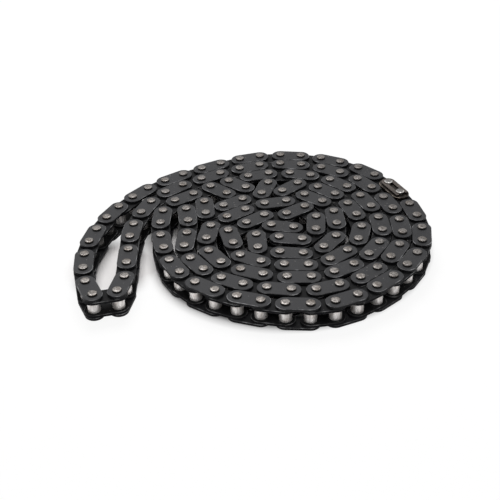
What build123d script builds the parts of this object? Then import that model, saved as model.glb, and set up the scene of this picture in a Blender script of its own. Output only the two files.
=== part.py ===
from build123d import *
import math
import os

# A closed loop of short-pitch steel drive chain, folded double and coiled flat on a surface.
# Every length is in millimetres. +Z is up, the pins stand upright, z = 0 is the surface.

# ---- chain ----
pitch = 9.525              # pin centre to pin centre
pin_diameter = 3.58
bush_diameter = 5.08       # outside of the bush that a sprocket tooth seats on
inner_width = 4.77         # clear width between the inner plates
plate_thickness = 1.25
outer_plate_height = 7.8   # across the flats of an outer plate
inner_plate_height = 7.9   # across the flats of an inner plate
plate_edge_break = 0.18    # bevel round each plate's rim

# ---- clearances ----
side_clearance = 0.15      # inner plate to outer plate, face to face
running_clearance = 0.05   # pin in bush, radial
seat_clearance = 0.02      # pin in outer plate and bush in inner plate, radial
slip_clearance = 0.04      # connecting pin in the cover plate, radial
lay_clearance = 0.15       # between plates that lie side by side

# ---- riveted pin ends ----
rivet_flare = 0.12         # how far the peened end spreads past the pin, radial
rivet_height = 0.78        # peened end above the outer plate
rivet_crown = 0.2          # rise of the crown inside that height
rivet_lift = 0.02          # peened end clear of the plate's face

# ---- connecting link ----
groove_diameter = 2.5      # root of the groove that holds the spring clip
groove_width = 0.8
groove_lift = 0.08         # groove's lower wall above the cover plate
connecting_pin_tip = 0.55  # pin above the groove
connecting_pin_bevel = 0.3
clip_thickness = 0.7
clip_groove_clearance = 0.05   # clip to the root of the groove, radial
clip_arm_width = 1.7
clip_waist = 2.2           # slot between the two pins
clip_throat = 2.1          # gap between the lips behind the held pin
clip_mouth = 3.6           # width of the flared mouth
clip_lip = 0.35            # straight part of each lip
clip_flare = 0.85          # length of the flare beyond it
clip_corner = 0.25

# ---- how the loop lies: the x and y of its pins, in pitches ----
# each run starts at a pin's number, and gives every third, second or single pin after it
route = [
    # first turn, from the tip of the hairpin up the left side and round the outside
    (0, 3, [(-6.4, -2.8), (-7.1, 0.1), (-6.4, 3.1), (-4.7, 5.5), (-2.2, 7.2), (0.6, 8.2),
            (3.5, 7.9), (6.0, 6.1), (7.2, 3.5), (7.4, 0.4), (5.8, -2.1), (3.3, -3.8),
            (0.3, -3.5), (-2.3, -2.1), (-3.7, 0.5), (-3.9, 3.5)]),
    # first fold and the start of the second turn
    (46, 1, [(-3.4, 4.4), (-2.5, 4.9), (-1.7, 5.5), (-1.0, 4.8), (-0.1, 5.3), (-0.9, 5.9),
             (0.0, 6.4)]),
    (53, 3, [(1.0, 6.6), (3.8, 5.8), (5.5, 3.3), (5.5, 0.3), (3.5, -1.8), (0.6, -1.7),
             (-1.8, 0.1)]),
    # small loops in the middle
    (73, 1, [(-1.7, 2.1), (-1.0, 2.8), (-0.1, 3.4), (0.8, 3.9), (1.7, 4.1), (2.6, 4.6),
             (3.4, 3.9), (3.8, 3.0), (3.8, 2.0), (3.7, 1.0), (3.1, 0.2), (2.3, -0.3),
             (1.3, -0.1), (0.3, 0.3), (0.3, 1.3), (1.0, 2.0), (2.0, 1.8), (1.2, 1.0),
             (2.2, 0.8), (2.9, 1.7), (3.0, 2.7), (2.6, 3.6), (1.7, 3.1), (0.8, 3.0),
             (-0.1, 2.3), (-0.9, 1.7), (-0.7, 0.7), (-0.5, -0.3)]),
    (101, 2, [(0.5, -0.8), (2.4, -1.3), (4.1, -0.2), (4.9, 1.7), (4.4, 3.6)]),
    (111, 1, [(3.2, 5.1), (2.3, 5.6), (1.6, 4.9), (0.9, 5.7), (0.6, 4.8), (-0.3, 4.3),
              (-1.1, 3.8), (-1.9, 3.2), (-2.0, 4.2), (-2.9, 3.6)]),
    # last turn, back to the hairpin
    (121, 3, [(-2.7, 2.6), (-2.6, -0.4), (-0.4, -2.3), (2.6, -2.5), (5.3, -1.2), (6.6, 1.2),
              (6.1, 4.0), (4.4, 6.4), (1.6, 7.5), (-1.3, 6.7), (-3.8, 5.1), (-5.1, 2.5),
              (-5.2, -0.6)]),
    (159, 1, [(-5.4, -2.5)]),
]
pin_count = 160
connecting_first = 22      # first of the two pins of the connecting link, and its link's number
swing_first = 6            # first of the hairpin's links that swing, counted the same way
swing_count = 13           # links that swing, from there round the tip to the other strand
turn_end = 48              # the first turn ends before this link
lay_rounds = 3000          # most rounds of easing
lay_accuracy = 0.0001      # pitch error at which the easing stops
near_pitches = 2.6         # links whose middles are further apart never touch, in pitches

# ---- sizes worked out from the ones above ----
inner_plate_reach = inner_width / 2 + plate_thickness          # half width over the inner plates
outer_plate_face = inner_plate_reach + side_clearance          # inside face of an outer plate
outer_plate_reach = outer_plate_face + plate_thickness
pin_reach = outer_plate_reach + rivet_height                   # half length of a riveted pin
mid_height = pin_reach                                         # the chain's mid plane above z = 0
pin_radius = pin_diameter / 2
bush_radius = bush_diameter / 2
bush_bore_radius = pin_radius + running_clearance
groove_floor = outer_plate_reach + groove_lift                 # lower wall of the clip's groove
connecting_pin_reach = groove_floor + groove_width + connecting_pin_tip
clip_seat_radius = groove_diameter / 2 + clip_groove_clearance


# ---- functions ----
def route_point(knots, number):
    """A smooth curve through the route's points, taken at the pin with this number."""
    count = len(knots)
    k = max(i for i in range(count) if knots[i][0] <= number)
    n1, p1 = knots[k]
    n0, p0 = knots[k - 1]
    n2, p2 = knots[(k + 1) % count]
    n3, p3 = knots[(k + 2) % count]
    if n0 > n1:
        n0 -= pin_count
    if n2 < n1:
        n2 += pin_count
    if n3 < n2:
        n3 += pin_count
    span = n2 - n1
    t = (number - n1) / span
    slope1 = (p2 - p0) / (n2 - n0) * span
    slope2 = (p3 - p1) / (n3 - n1) * span
    start = (2 * t**3 - 3 * t**2 + 1) * p1 + (t**3 - 2 * t**2 + t) * slope1
    return start + (3 * t**2 - 2 * t**3) * p2 + (t**3 - t**2) * slope2


def nearest_shares(a, b, c, d):
    """Gap between the lines ab and cd, and how far along each the nearest points lie."""
    options = []
    for p, q, r, own_end, on_first in ((a, c, d, 0, True), (b, c, d, 1, True),
                                       (c, a, b, 0, False), (d, a, b, 1, False)):
        line = r - q
        share = ((p - q) * line.conjugate()).real / abs(line) ** 2
        share = min(1, max(0, share))
        gap = abs(p - q - share * line)
        options.append((gap, own_end, share) if on_first else (gap, share, own_end))
    return min(options)


def side_by_side_links(pins):
    """Pairs of links of one kind that lie near each other, with the spacing they need."""
    spacings = (outer_plate_height + lay_clearance, inner_plate_height + lay_clearance)
    pairs = []
    for kind, spacing in enumerate(spacings):
        for i in range(kind, pin_count, 2):
            for j in range(i + 2, pin_count, 2):
                i_end = (i + 1) % pin_count
                j_end = (j + 1) % pin_count
                if abs(pins[i] + pins[i_end] - pins[j] - pins[j_end]) / 2 < near_pitches * pitch:
                    pairs.append((i, i_end, j, j_end, spacing))
    return pairs


def lay_chain():
    """Pin centres: the route, eased until every pitch is exact and no two plates overlap."""
    knots = []
    for first, step, points in route:
        for i, (x, y) in enumerate(points):
            knots.append((first + i * step, complex(x, y) * pitch))
    pins = [route_point(knots, number) for number in range(pin_count)]
    pairs = side_by_side_links(pins)
    for _ in range(lay_rounds):
        worst = 0
        for i, i_end, j, j_end, spacing in pairs:
            gap, s, t = nearest_shares(pins[i], pins[i_end], pins[j], pins[j_end])
            if gap < spacing:
                near_i = pins[i] + (pins[i_end] - pins[i]) * s
                near_j = pins[j] + (pins[j_end] - pins[j]) * t
                give = (1 - s) ** 2 + s**2 + (1 - t) ** 2 + t**2
                push = (near_i - near_j) / gap * (spacing - gap) / give
                pins[i] += push * (1 - s)
                pins[i_end] += push * s
                pins[j] -= push * (1 - t)
                pins[j_end] -= push * t
        for n in range(pin_count):
            after = (n + 1) % pin_count
            line = pins[after] - pins[n]
            excess = abs(line) - pitch
            worst = max(worst, abs(excess))
            shift = line / abs(line) * excess / 2
            pins[n] += shift
            pins[after] -= shift
        if worst < lay_accuracy:
            break
    return centred(pins)


def centred(pins):
    """Moves the pins so that the middle of the whole chain's outline is over the origin."""
    xs = [p.real for p in pins]
    ys = [p.imag for p in pins]
    middle = complex(min(xs) + max(xs), min(ys) + max(ys)) / 2
    return [p - middle for p in pins]


def link_place(pins, n, z):
    """Where link n lies: its middle, turned along its own pitch."""
    a = pins[n]
    b = pins[(n + 1) % pin_count]
    middle = (a + b) / 2
    turn = math.degrees(math.atan2((b - a).imag, (b - a).real))
    return Location((middle.real, middle.imag, z), (0, 0, turn))


def pin_place(pins, n):
    """Where pin n stands: on its centre, at the height of the chain's mid plane."""
    pin = pins[n % pin_count]
    return Location((pin.real, pin.imag, mid_height))


def plate(height, hole_radius):
    """Side plate with full round ends and two holes, its lower face at z = 0."""
    outline = SlotCenterToCenter(pitch, height)
    body = extrude(outline, plate_thickness)
    faces = body.faces().sort_by(Axis.Z)
    body = chamfer(faces[0].edges() + faces[-1].edges(), plate_edge_break)
    for side in (-1, 1):
        hole = Cylinder(hole_radius, plate_thickness, align=(Align.CENTER, Align.CENTER, Align.MIN))
        body -= Pos(side * pitch / 2, 0) * hole
    return body.solid()


def bush():
    """Plain bush, pressed into both inner plates and flush with their outer faces."""
    return (Cylinder(bush_radius, 2 * inner_plate_reach)
            - Cylinder(bush_bore_radius, 2 * inner_plate_reach)).solid()


def revolved(points):
    """Solid of revolution about Z from (radius, height) points that start and end on the axis."""
    outline = make_face(Polyline(*points, close=True))
    return revolve(Plane.XZ * outline, Axis.Z).solid()


def riveted_side():
    """(radius, height) points of a pin's peened end, from its seat on the plate to its crown."""
    edge = pin_radius + rivet_flare
    seat = outer_plate_reach + rivet_lift
    return [(pin_radius, seat), (edge, seat), (edge, pin_reach - rivet_crown),
            (edge - rivet_crown, pin_reach - rivet_crown / 3), (edge / 2, pin_reach), (0, pin_reach)]


def riveted_pin():
    """Pin peened at both ends over the outer plates."""
    upper = riveted_side()
    lower = [(radius, -height) for radius, height in reversed(upper)]
    return revolved(lower + upper)


def connecting_pin():
    """Pin riveted to the pin plate below and grooved above the cover plate for the clip."""
    lower = [(radius, -height) for radius, height in reversed(riveted_side())]
    groove_radius = groove_diameter / 2
    tip = connecting_pin_reach
    upper = [(pin_radius, groove_floor), (groove_radius, groove_floor),
             (groove_radius, groove_floor + groove_width), (pin_radius, groove_floor + groove_width),
             (pin_radius, tip - connecting_pin_bevel), (pin_radius - connecting_pin_bevel, tip), (0, tip)]
    return revolved(lower + upper)


def spring_clip():
    """Flat clip in the grooves of both connecting pins: closed round one, open past the other."""
    reach = clip_seat_radius + clip_arm_width
    held = pitch / 2
    lip_start = held + math.sqrt(clip_seat_radius**2 - (clip_throat / 2) ** 2)
    lip_end = lip_start + clip_lip
    end = lip_end + clip_flare
    outline = Pos(-held, 0) * Circle(reach)
    outline += Pos((end - held) / 2, 0) * Rectangle(end + held, 2 * reach)
    outline -= Pos(-held, 0) * Circle(clip_seat_radius)
    outline -= Pos(held, 0) * Circle(clip_seat_radius)
    outline -= Rectangle(pitch, clip_waist)
    outline -= Pos((held + end) / 2, 0) * Rectangle(end - held, clip_throat)
    mouth = Polyline((lip_end, -clip_throat / 2), (end, -clip_mouth / 2), (end, clip_mouth / 2),
                     (lip_end, clip_throat / 2), close=True)
    outline -= make_face(mouth)
    body = extrude(outline, clip_thickness)
    corners = body.edges().filter_by(Axis.Z).group_by(Axis.X)[-1]
    return fillet(corners, clip_corner).solid()


def copies(solid, places):
    """The same piece at each place, as one group of separate solids."""
    return Compound([solid.moved(place) for place in places])


def save(name, shape):
    shape.label = name
    export_step(shape, os.path.join("parts", name + ".step"))


# ---- the pieces ----
os.makedirs("parts", exist_ok=True)
pins = lay_chain()
outer_plate = plate(outer_plate_height, pin_radius + seat_clearance)
inner_plate = plate(inner_plate_height, bush_radius + seat_clearance)
cover_plate = plate(outer_plate_height, pin_radius + slip_clearance)
link_bush = bush()
link_pin = riveted_pin()
inner_faces = (mid_height + inner_width / 2, mid_height - inner_plate_reach)
outer_faces = (mid_height + outer_plate_face, mid_height - outer_plate_reach)
swinging = [(swing_first - k) % pin_count for k in range(swing_count)]
coiled = [n for n in range(pin_count) if n not in swinging]

# the coil: the first turn, then the folds, loops and last turn inside it
for turn, links in (("first_turn", [n for n in coiled if n < turn_end]),
                    ("inner_turns", [n for n in coiled if n >= turn_end])):
    outer_links = [n for n in links if n % 2 == 0 and n != connecting_first]
    inner_links = [n for n in links if n % 2 == 1]
    for level, outer_face, inner_face in zip(("upper", "lower"), outer_faces, inner_faces):
        outer_places = [link_place(pins, n, outer_face) for n in outer_links]
        inner_places = [link_place(pins, n, inner_face) for n in inner_links]
        save(f"{turn}_outer_plates_{level}", copies(outer_plate, outer_places))
        save(f"{turn}_inner_plates_{level}", copies(inner_plate, inner_places))
    pin_places = [pin_place(pins, n + end) for n in outer_links for end in (0, 1)]
    bush_places = [pin_place(pins, n + end) for n in inner_links for end in (0, 1)]
    save(f"{turn}_pins", copies(link_pin, pin_places))
    save(f"{turn}_bushes", copies(link_bush, bush_places))

# the hairpin's links, each free to turn on its own pins
for number, n in enumerate(swinging, start=1):
    side_plate = outer_plate if n % 2 == 0 else inner_plate
    faces = outer_faces if n % 2 == 0 else inner_faces
    save(f"swing_link_{number:02d}_upper_plate", copies(side_plate, [link_place(pins, n, faces[0])]))
    save(f"swing_link_{number:02d}_lower_plate", copies(side_plate, [link_place(pins, n, faces[1])]))
    round_piece, kind = (link_pin, "pins") if n % 2 == 0 else (link_bush, "bushes")
    round_places = [pin_place(pins, n), pin_place(pins, n + 1)]
    save(f"swing_link_{number:02d}_{kind}", copies(round_piece, round_places))

# the connecting link, with its spring clip
connecting_places = [pin_place(pins, connecting_first), pin_place(pins, connecting_first + 1)]
clip_height = mid_height + groove_floor + (groove_width - clip_thickness) / 2
save("connecting_pin_plate", copies(outer_plate, [link_place(pins, connecting_first, outer_faces[1])]))
save("connecting_pins", copies(connecting_pin(), connecting_places))
save("connecting_cover_plate", copies(cover_plate, [link_place(pins, connecting_first, outer_faces[0])]))
save("spring_clip", copies(spring_clip(), [link_place(pins, connecting_first, clip_height)]))
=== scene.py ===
import bpy
import math
from mathutils import Matrix, Vector

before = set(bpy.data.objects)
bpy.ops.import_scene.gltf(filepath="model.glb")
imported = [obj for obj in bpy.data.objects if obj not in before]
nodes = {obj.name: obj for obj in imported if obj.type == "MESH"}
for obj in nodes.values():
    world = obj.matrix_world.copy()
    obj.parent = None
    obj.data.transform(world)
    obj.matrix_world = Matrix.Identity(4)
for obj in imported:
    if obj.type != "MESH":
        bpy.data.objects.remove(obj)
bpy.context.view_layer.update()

print("frame loaded:", len(nodes), "nodes")


def grey(value):
    return (value, value, value, 1)


def newMaterial(name):
    material = bpy.data.materials.new(name)
    material.use_nodes = True
    tree = material.node_tree
    tree.nodes.clear()
    output = tree.nodes.new("ShaderNodeOutputMaterial")
    shader = tree.nodes.new("ShaderNodeBsdfPrincipled")
    tree.links.new(shader.outputs[0], output.inputs[0])
    coords = tree.nodes.new("ShaderNodeTexCoord")
    return material, tree, shader, coords


def addNoise(tree, coords, scale, detail=4.0, stretch=(1, 1, 1)):
    mapping = tree.nodes.new("ShaderNodeMapping")
    mapping.inputs["Scale"].default_value = stretch
    noise = tree.nodes.new("ShaderNodeTexNoise")
    noise.inputs["Scale"].default_value = scale
    noise.inputs["Detail"].default_value = detail
    tree.links.new(coords.outputs["Object"], mapping.inputs[0])
    tree.links.new(mapping.outputs[0], noise.inputs["Vector"])
    return noise.outputs[0]


# how much a surface faces up or down: 1 on the flats, 0 on the sides
def addFacing(tree, coords):
    split = tree.nodes.new("ShaderNodeSeparateXYZ")
    size = tree.nodes.new("ShaderNodeMath")
    size.operation = "ABSOLUTE"
    tree.links.new(coords.outputs["Normal"], split.inputs[0])
    tree.links.new(split.outputs[2], size.inputs[0])
    return size.outputs[0]


# one colour at each place, places running from 0 to 1
def addRamp(tree, value, places, colors):
    ramp = tree.nodes.new("ShaderNodeValToRGB")
    elements = ramp.color_ramp.elements
    while len(elements) < len(places):
        elements.new(0.5)
    for element, place, color in zip(elements, places, colors):
        element.position = place
        element.color = color
    tree.links.new(value, ramp.inputs[0])
    return ramp.outputs[0]


def addGreyRamp(tree, value, places, greys):
    return addRamp(tree, value, places, [grey(shade) for shade in greys])


# each value is another node's output, or a constant
def feedSockets(tree, sockets, values):
    for socket, value in zip(sockets, values):
        if isinstance(value, bpy.types.NodeSocket):
            tree.links.new(value, socket)
        else:
            socket.default_value = value


def addMix(tree, factor, first, second, blend="MIX"):
    mix = tree.nodes.new("ShaderNodeMix")
    mix.data_type = "RGBA"
    mix.blend_type = blend
    # sockets 6 and 7 are the two colours, and output 2 the mixed one
    feedSockets(tree, (mix.inputs[0], mix.inputs[6], mix.inputs[7]), (factor, first, second))
    return mix.outputs[2]


def addMath(tree, operation, first, second):
    result = tree.nodes.new("ShaderNodeMath")
    result.operation = operation
    feedSockets(tree, result.inputs, (first, second))
    return result.outputs[0]


def addBump(tree, shader, height, strength, distance):
    bump = tree.nodes.new("ShaderNodeBump")
    bump.inputs["Strength"].default_value = strength
    bump.inputs["Distance"].default_value = distance
    tree.links.new(height, bump.inputs["Height"])
    tree.links.new(bump.outputs[0], shader.inputs["Normal"])


# stamped plate: oxide on the flats, a worn rim, painted shade on the sheared sides, a few
# pale specks
def makePlateSteel(name, settings):
    material, tree, shader, coords = newMaterial(name)
    cloud = addNoise(tree, coords, settings["cloudScale"])
    grain = addNoise(tree, coords, settings["grainScale"], settings["grainDetail"])
    speck = addNoise(tree, coords, settings["speckScale"], settings["speckDetail"])
    wear = addNoise(tree, coords, settings["wearScale"], settings["wearDetail"])
    facing = addFacing(tree, coords)
    flatColors = (settings["color"], settings["lightColor"])
    flat = addRamp(tree, cloud, settings["cloudPlaces"], flatColors)
    fleck = addGreyRamp(tree, grain, settings["grainPlaces"], settings["grainGreys"])
    flat = addMix(tree, 1.0, flat, fleck, "MULTIPLY")
    isSide = addGreyRamp(tree, facing, settings["sidePlaces"], (1, 0))
    isRim = addGreyRamp(tree, facing, settings["rimPlaces"], (0, settings["rimWear"], 0))
    worn = addGreyRamp(tree, wear, settings["wearPlaces"], settings["wearGreys"])
    isRim = addMix(tree, 1.0, isRim, worn, "MULTIPLY")
    specks = addGreyRamp(tree, speck, settings["speckPlaces"], (0, 1))
    # painted shade: the side faces take a darker colour that stands in for the shade between
    # the plates
    color = addMix(tree, isSide, flat, settings["sideShadeColor"])
    color = addMix(tree, isRim, color, settings["rimColor"])
    color = addMix(tree, specks, color, settings["speckColor"])
    tree.links.new(color, shader.inputs["Base Color"])
    shader.inputs["Metallic"].default_value = settings["metal"]
    shader.inputs["Specular IOR Level"].default_value = settings["gloss"]
    rough = addGreyRamp(tree, cloud, settings["roughPlaces"], settings["roughness"])
    tree.links.new(rough, shader.inputs["Roughness"])
    addBump(tree, shader, grain, settings["bump"], settings["bumpDepth"])
    return material


# the blackened side plates
plateSettings = {
    "color": (0.019, 0.019, 0.0208, 1),
    "lightColor": (0.033, 0.033, 0.0355, 1),
    "sideShadeColor": (0.006, 0.006, 0.007, 1),
    "rimColor": (0.36, 0.36, 0.37, 1),
    "speckColor": (0.13, 0.125, 0.12, 1),
    "cloudScale": 130,
    "cloudPlaces": (0.33, 0.7),
    "grainScale": 2600,
    "grainDetail": 3,
    "grainPlaces": (0.35, 0.65),
    "grainGreys": (0.7, 1),
    "speckScale": 900,
    "speckDetail": 2,
    "speckPlaces": (0.7, 0.75),
    "sidePlaces": (0.15, 0.6),
    "rimPlaces": (0.35, 0.7, 0.96),
    "rimWear": 0.85,
    "wearScale": 260,
    "wearDetail": 3,
    "wearPlaces": (0.47, 0.68),
    "wearGreys": (0.1, 1),
    "metal": 0.1,
    "gloss": 0.13,
    "roughness": (0.44, 0.6),  # where the clouds are dark and pale
    "roughPlaces": (0.3, 0.75),
    "bump": 0.25,
    "bumpDepth": 0.00008,
}
# the inner plates, darker with painted shade where the outer plates shelter them
innerPlateShadeSettings = dict(plateSettings, **{
    "color": (0.007, 0.007, 0.0075, 1),
    "lightColor": (0.014, 0.014, 0.015, 1),
    "rimColor": (0.24, 0.24, 0.245, 1),
    "metal": 0,
    "gloss": 0.05,
    "roughness": (0.54, 0.7),
})
# the pin plate and cover plate of the connecting link
bronzedSettings = dict(plateSettings, **{
    "color": (0.011, 0.009, 0.0075, 1),
    "lightColor": (0.024, 0.0195, 0.016, 1),
    "sideShadeColor": (0.006, 0.005, 0.004, 1),
    "rimColor": (0.4, 0.34, 0.29, 1),
    "speckColor": (0.2, 0.16, 0.12, 1),
    "metal": 0.2,
    "roughness": (0.34, 0.5),
})
# the spring clip, lighter than the plates under it
clipSettings = dict(plateSettings, **{
    "color": (0.044, 0.036, 0.031, 1),
    "lightColor": (0.088, 0.073, 0.064, 1),
    "sideShadeColor": (0.016, 0.013, 0.011, 1),
    "rimColor": (0.5, 0.43, 0.37, 1),
    "speckColor": (0.32, 0.28, 0.24, 1),
    "metal": 0.4,
    "roughness": (0.29, 0.45),
})
plateSteel = makePlateSteel("blackenedPlate", plateSettings)
shadedInnerPlateSteel = makePlateSteel("blackenedShadedInnerPlate", innerPlateShadeSettings)
bronzedSteel = makePlateSteel("bronzedPlate", bronzedSettings)
clipSteel = makePlateSteel("bronzedClip", clipSettings)


# bright steel: streaks or peening marks, stains, and a ramp by facing that paints light and
# shade on top, rim and sides
def makeBrightSteel(name, settings):
    material, tree, shader, coords = newMaterial(name)
    streak = addNoise(tree, coords, settings["streakScale"], stretch=settings["stretch"])
    cloud = addNoise(tree, coords, settings["cloudScale"], settings["cloudDetail"])
    facing = addFacing(tree, coords)
    streakColors = (settings["darkColor"], settings["color"])
    color = addRamp(tree, streak, settings["streakPlaces"], streakColors)
    stain = addRamp(tree, cloud, settings["stainPlaces"], (grey(1), settings["stainColor"]))
    color = addMix(tree, 1.0, color, stain, "MULTIPLY")
    # painted light: a grey ramp by facing darkens the sides as painted shade and brightens
    # rims and bevels as a painted highlight
    shade = addGreyRamp(tree, facing, settings["paintedLightPlaces"], settings["paintedLightGreys"])
    color = addMix(tree, 1.0, color, shade, "MULTIPLY")
    tree.links.new(color, shader.inputs["Base Color"])
    shader.inputs["Metallic"].default_value = settings["metal"]
    rough = addGreyRamp(tree, streak, settings["roughPlaces"], settings["roughness"])
    tree.links.new(rough, shader.inputs["Roughness"])
    addBump(tree, shader, streak, settings["bump"], settings["bumpDepth"])
    return material


# the pins, peened on top, with painted shade down the sides and a painted highlight round
# the rim of each head
pinSettings = {
    "color": (0.25, 0.232, 0.218, 1),
    "darkColor": (0.068, 0.061, 0.057, 1),
    "stainColor": (0.62, 0.56, 0.50, 1),
    "paintedLightPlaces": (0.3, 0.974, 0.984, 0.998),
    "paintedLightGreys": (0.2, 0.35, 1, 0.72),
    "streakScale": 1500,
    "stretch": (1, 1, 1),
    "streakPlaces": (0.34, 0.66),
    "cloudScale": 450,
    "cloudDetail": 3,
    "stainPlaces": (0.48, 0.72),
    "metal": 0.8,
    "roughness": (0.39, 0.27),  # on the dark and the bright streaks
    "roughPlaces": (0.3, 0.7),
    "bump": 0.6,
    "bumpDepth": 0.00012,
}
# the pins of the connecting link, cleaner, with a painted highlight on the bevel at each
# end, darker on the flat top, and painted shade down the sides
linkPinSettings = dict(pinSettings, **{
    "color": (0.78, 0.76, 0.74, 1),
    "darkColor": (0.34, 0.325, 0.31, 1),
    "paintedLightPlaces": (0.2, 0.75, 1),
    "paintedLightGreys": (0.15, 1, 0.22),
})
# the bushes, drawn streaks along them, darker towards their end faces
bushSettings = dict(pinSettings, **{
    "color": (0.99, 0.96, 0.945, 1),
    "darkColor": (0.5, 0.475, 0.455, 1),
    "stainColor": (0.76, 0.725, 0.7, 1),
    "paintedLightPlaces": (0, 1),
    "paintedLightGreys": (1, 0.6),
    "streakScale": 1100,
    "stretch": (1, 1, 0.16),
    "cloudScale": 420,
    "metal": 0.6,
    "roughness": (0.36, 0.24),
    "bump": 0.35,
    "bumpDepth": 0.0001,
})
# the bushes down the hairpin's two sides, darkened as painted shade for the shade and dark
# reflections inside the hairpin
shadedBushSettings = dict(bushSettings, **{
    "color": (0.16, 0.155, 0.15, 1),
    "darkColor": (0.05, 0.048, 0.046, 1),
    "onLinks": ("swing_link_02", "swing_link_04", "swing_link_12"),
})
pinSteel = makeBrightSteel("peenedPin", pinSettings)
linkPinSteel = makeBrightSteel("linkPin", linkPinSettings)
bushSteel = makeBrightSteel("drawnBush", bushSettings)
shadedBushSteel = makeBrightSteel("shadedBush", shadedBushSettings)


# a hairpin link with bushes of its own is an inner link
def isInnerLink(name):
    link = name[:len("swing_link_01")]
    return name.startswith("swing_link") and link + "_bushes" in nodes


for name, piece in nodes.items():
    if name == "spring_clip":
        steel = clipSteel
    elif name == "connecting_pins":
        steel = linkPinSteel
    elif name.endswith("pins"):
        steel = pinSteel
    elif name.endswith("bushes"):
        # painted shade: the hairpin's side bushes get the dark copy of the bush steel
        isShaded = name.startswith(shadedBushSettings["onLinks"])
        steel = shadedBushSteel if isShaded else bushSteel
    elif name.startswith("connecting"):
        steel = bronzedSteel
    # painted shade: the inner plates get the darker copy of the plate steel
    elif "inner_plates" in name or isInnerLink(name):
        steel = shadedInnerPlateSteel
    else:
        steel = plateSteel
    piece.data.materials.clear()
    piece.data.materials.append(steel)
print("steels given to the nodes")

# the floor: pale with a soft shadow, seen nearly white in the open, with painted shade as a
# darker colour under the coil, inside the hairpin and in the gap between the two
floorSettings = {
    "openColor": (0.96, 0.955, 0.955, 1),
    "paintedShadeColor": (0.83, 0.81, 0.805, 1),
    "roughness": 0.9,
    "size": 4.0,
    "seenStrength": 1.0,
    "lift": 0.9,  # share of plain white glow that the camera sees on the open floor, painted light over the floor's shadow there
    "coilCentre": (0.0126, 0.0013, 0),
    "coilReach": (0.057, 0.0635),
    "farReach": (0.08, 0.4),
    "hairpinCentre": (-0.059, -0.014, 0),
    "hairpinReach": (0.014, 0.023),
    "gapCentre": (-0.047, -0.013, 0),
    "gapReach": (0.007, 0.016),
}


# 0 within the first distance of the centre, 1 beyond the second
def addReach(tree, coords, centre, reach):
    away = tree.nodes.new("ShaderNodeVectorMath")
    away.operation = "DISTANCE"
    away.inputs[1].default_value = centre
    tree.links.new(coords.outputs["Object"], away.inputs[0])
    spread = tree.nodes.new("ShaderNodeMapRange")
    spread.inputs["From Min"].default_value, spread.inputs["From Max"].default_value = reach
    tree.links.new(away.outputs["Value"], spread.inputs[0])
    return spread.outputs[0]


def makeFloor(settings):
    bpy.ops.object.select_all(action="DESELECT")
    bpy.ops.mesh.primitive_plane_add(size=settings["size"], location=(0, 0, 0))
    floor = bpy.context.object
    floor.name = "studioFloor"
    material, tree, shader, coords = newMaterial("studioFloor")
    isOpen = addReach(tree, coords, settings["coilCentre"], settings["coilReach"])
    for part in ("hairpin", "gap"):
        reach = addReach(tree, coords, settings[part + "Centre"], settings[part + "Reach"])
        isOpen = addMath(tree, "MINIMUM", isOpen, reach)
    # painted shade: the floor colour is darker near the chain
    color = addMix(tree, isOpen, settings["paintedShadeColor"], settings["openColor"])
    tree.links.new(color, shader.inputs["Base Color"])
    shader.inputs["Roughness"].default_value = settings["roughness"]
    glow = tree.nodes.new("ShaderNodeEmission")
    glow.inputs["Color"].default_value = grey(1)
    glow.inputs["Strength"].default_value = settings["seenStrength"]
    path = tree.nodes.new("ShaderNodeLightPath")
    # painted light: the white glow is strong in the open and fades out near the chain, so it
    # hides the shadow only in the open
    near = addMath(tree, "MULTIPLY", isOpen, settings["lift"])
    far = addReach(tree, coords, settings["coilCentre"], settings["farReach"])
    lift = addMath(tree, "MAXIMUM", near, far)
    share = addMath(tree, "MULTIPLY", path.outputs["Is Camera Ray"], lift)
    blend = tree.nodes.new("ShaderNodeMixShader")
    tree.links.new(share, blend.inputs[0])
    tree.links.new(shader.outputs[0], blend.inputs[1])
    tree.links.new(glow.outputs[0], blend.inputs[2])
    tree.links.new(blend.outputs[0], tree.get_output_node("CYCLES").inputs[0])
    floor.data.materials.append(material)


# the world lights weakly, and is white to the camera and in reflections
worldSettings = {"litStrength": 0.35, "seenStrength": 1.0}


def addBackground(tree, strength):
    background = tree.nodes.new("ShaderNodeBackground")
    background.inputs["Color"].default_value = grey(1)
    background.inputs["Strength"].default_value = strength
    return background.outputs[0]


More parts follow.
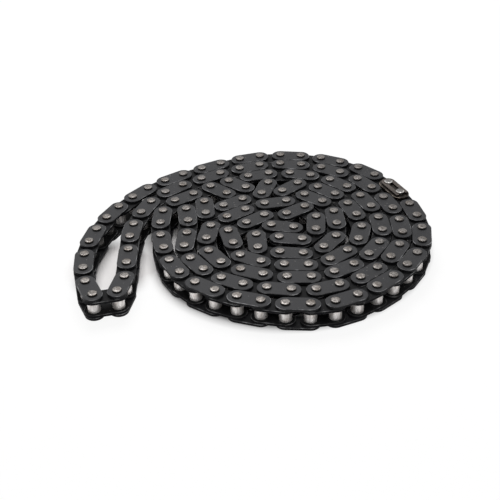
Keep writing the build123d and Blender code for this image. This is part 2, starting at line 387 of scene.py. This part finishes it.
def makeWorld(settings):
    world = bpy.context.scene.world or bpy.data.worlds.new("studio")
    bpy.context.scene.world = world
    world.use_nodes = True
    tree = world.node_tree
    tree.nodes.clear()
    output = tree.nodes.new("ShaderNodeOutputWorld")
    lit = addBackground(tree, settings["litStrength"])
    seen = addBackground(tree, settings["seenStrength"])
    path = tree.nodes.new("ShaderNodeLightPath").outputs
    isSeen = addMath(tree, "MAXIMUM", path["Is Camera Ray"], path["Is Glossy Ray"])
    blend = tree.nodes.new("ShaderNodeMixShader")
    tree.links.new(isSeen, blend.inputs[0])
    tree.links.new(lit, blend.inputs[1])
    tree.links.new(seen, blend.inputs[2])
    tree.links.new(blend.outputs[0], output.inputs[0])


# a key lamp above and behind the chain, and a weaker one in front
keyLampSettings = {"power": 5.4, "size": 0.4, "place": (-0.08, 0.4, 0.7)}
fillLampSettings = {"power": 1.3, "size": 0.5, "place": (0.12, -0.45, 0.65)}


def addLamp(name, settings):
    lamp = bpy.data.lights.new(name, "AREA")
    lamp.energy = settings["power"]
    lamp.size = settings["size"]
    holder = bpy.data.objects.new(name, lamp)
    bpy.context.collection.objects.link(holder)
    holder.location = settings["place"]
    toOrigin = -Vector(settings["place"])
    holder.rotation_euler = toOrigin.to_track_quat("-Z", "Y").to_euler()


makeFloor(floorSettings)
makeWorld(worldSettings)
addLamp("keyLamp", keyLampSettings)
addLamp("fillLamp", fillLampSettings)
print("floor, world and lamps made")

# the camera, aimed at a point on the top of the chain
cameraSettings = {
    "lens": 77.806,
    "sensor": 36,
    "elevation": 34.0,
    "azimuth": -0.03,
    "roll": -1.75,
    "distance": 0.4357,
    "target": (-0.00218, -0.02138, 0.0115),
}


def placeCamera(settings):
    lens = bpy.data.cameras.new("camera")
    lens.lens = settings["lens"]
    lens.sensor_width = settings["sensor"]
    camera = bpy.data.objects.new("camera", lens)
    bpy.context.collection.objects.link(camera)
    down = math.radians(settings["elevation"])
    turn = math.radians(settings["azimuth"])
    level = Vector((math.sin(turn), math.cos(turn), 0))
    ahead = level * math.cos(down) - Vector((0, 0, math.sin(down)))
    camera.location = Vector(settings["target"]) - ahead * settings["distance"]
    look = ahead.to_track_quat("-Z", "Y").to_matrix()
    roll = Matrix.Rotation(math.radians(settings["roll"]), 3, "Z")
    camera.rotation_euler = (look @ roll).to_euler()
    bpy.context.scene.camera = camera


placeCamera(cameraSettings)
bpy.context.scene.view_settings.view_transform = "Standard"
print("camera placed")
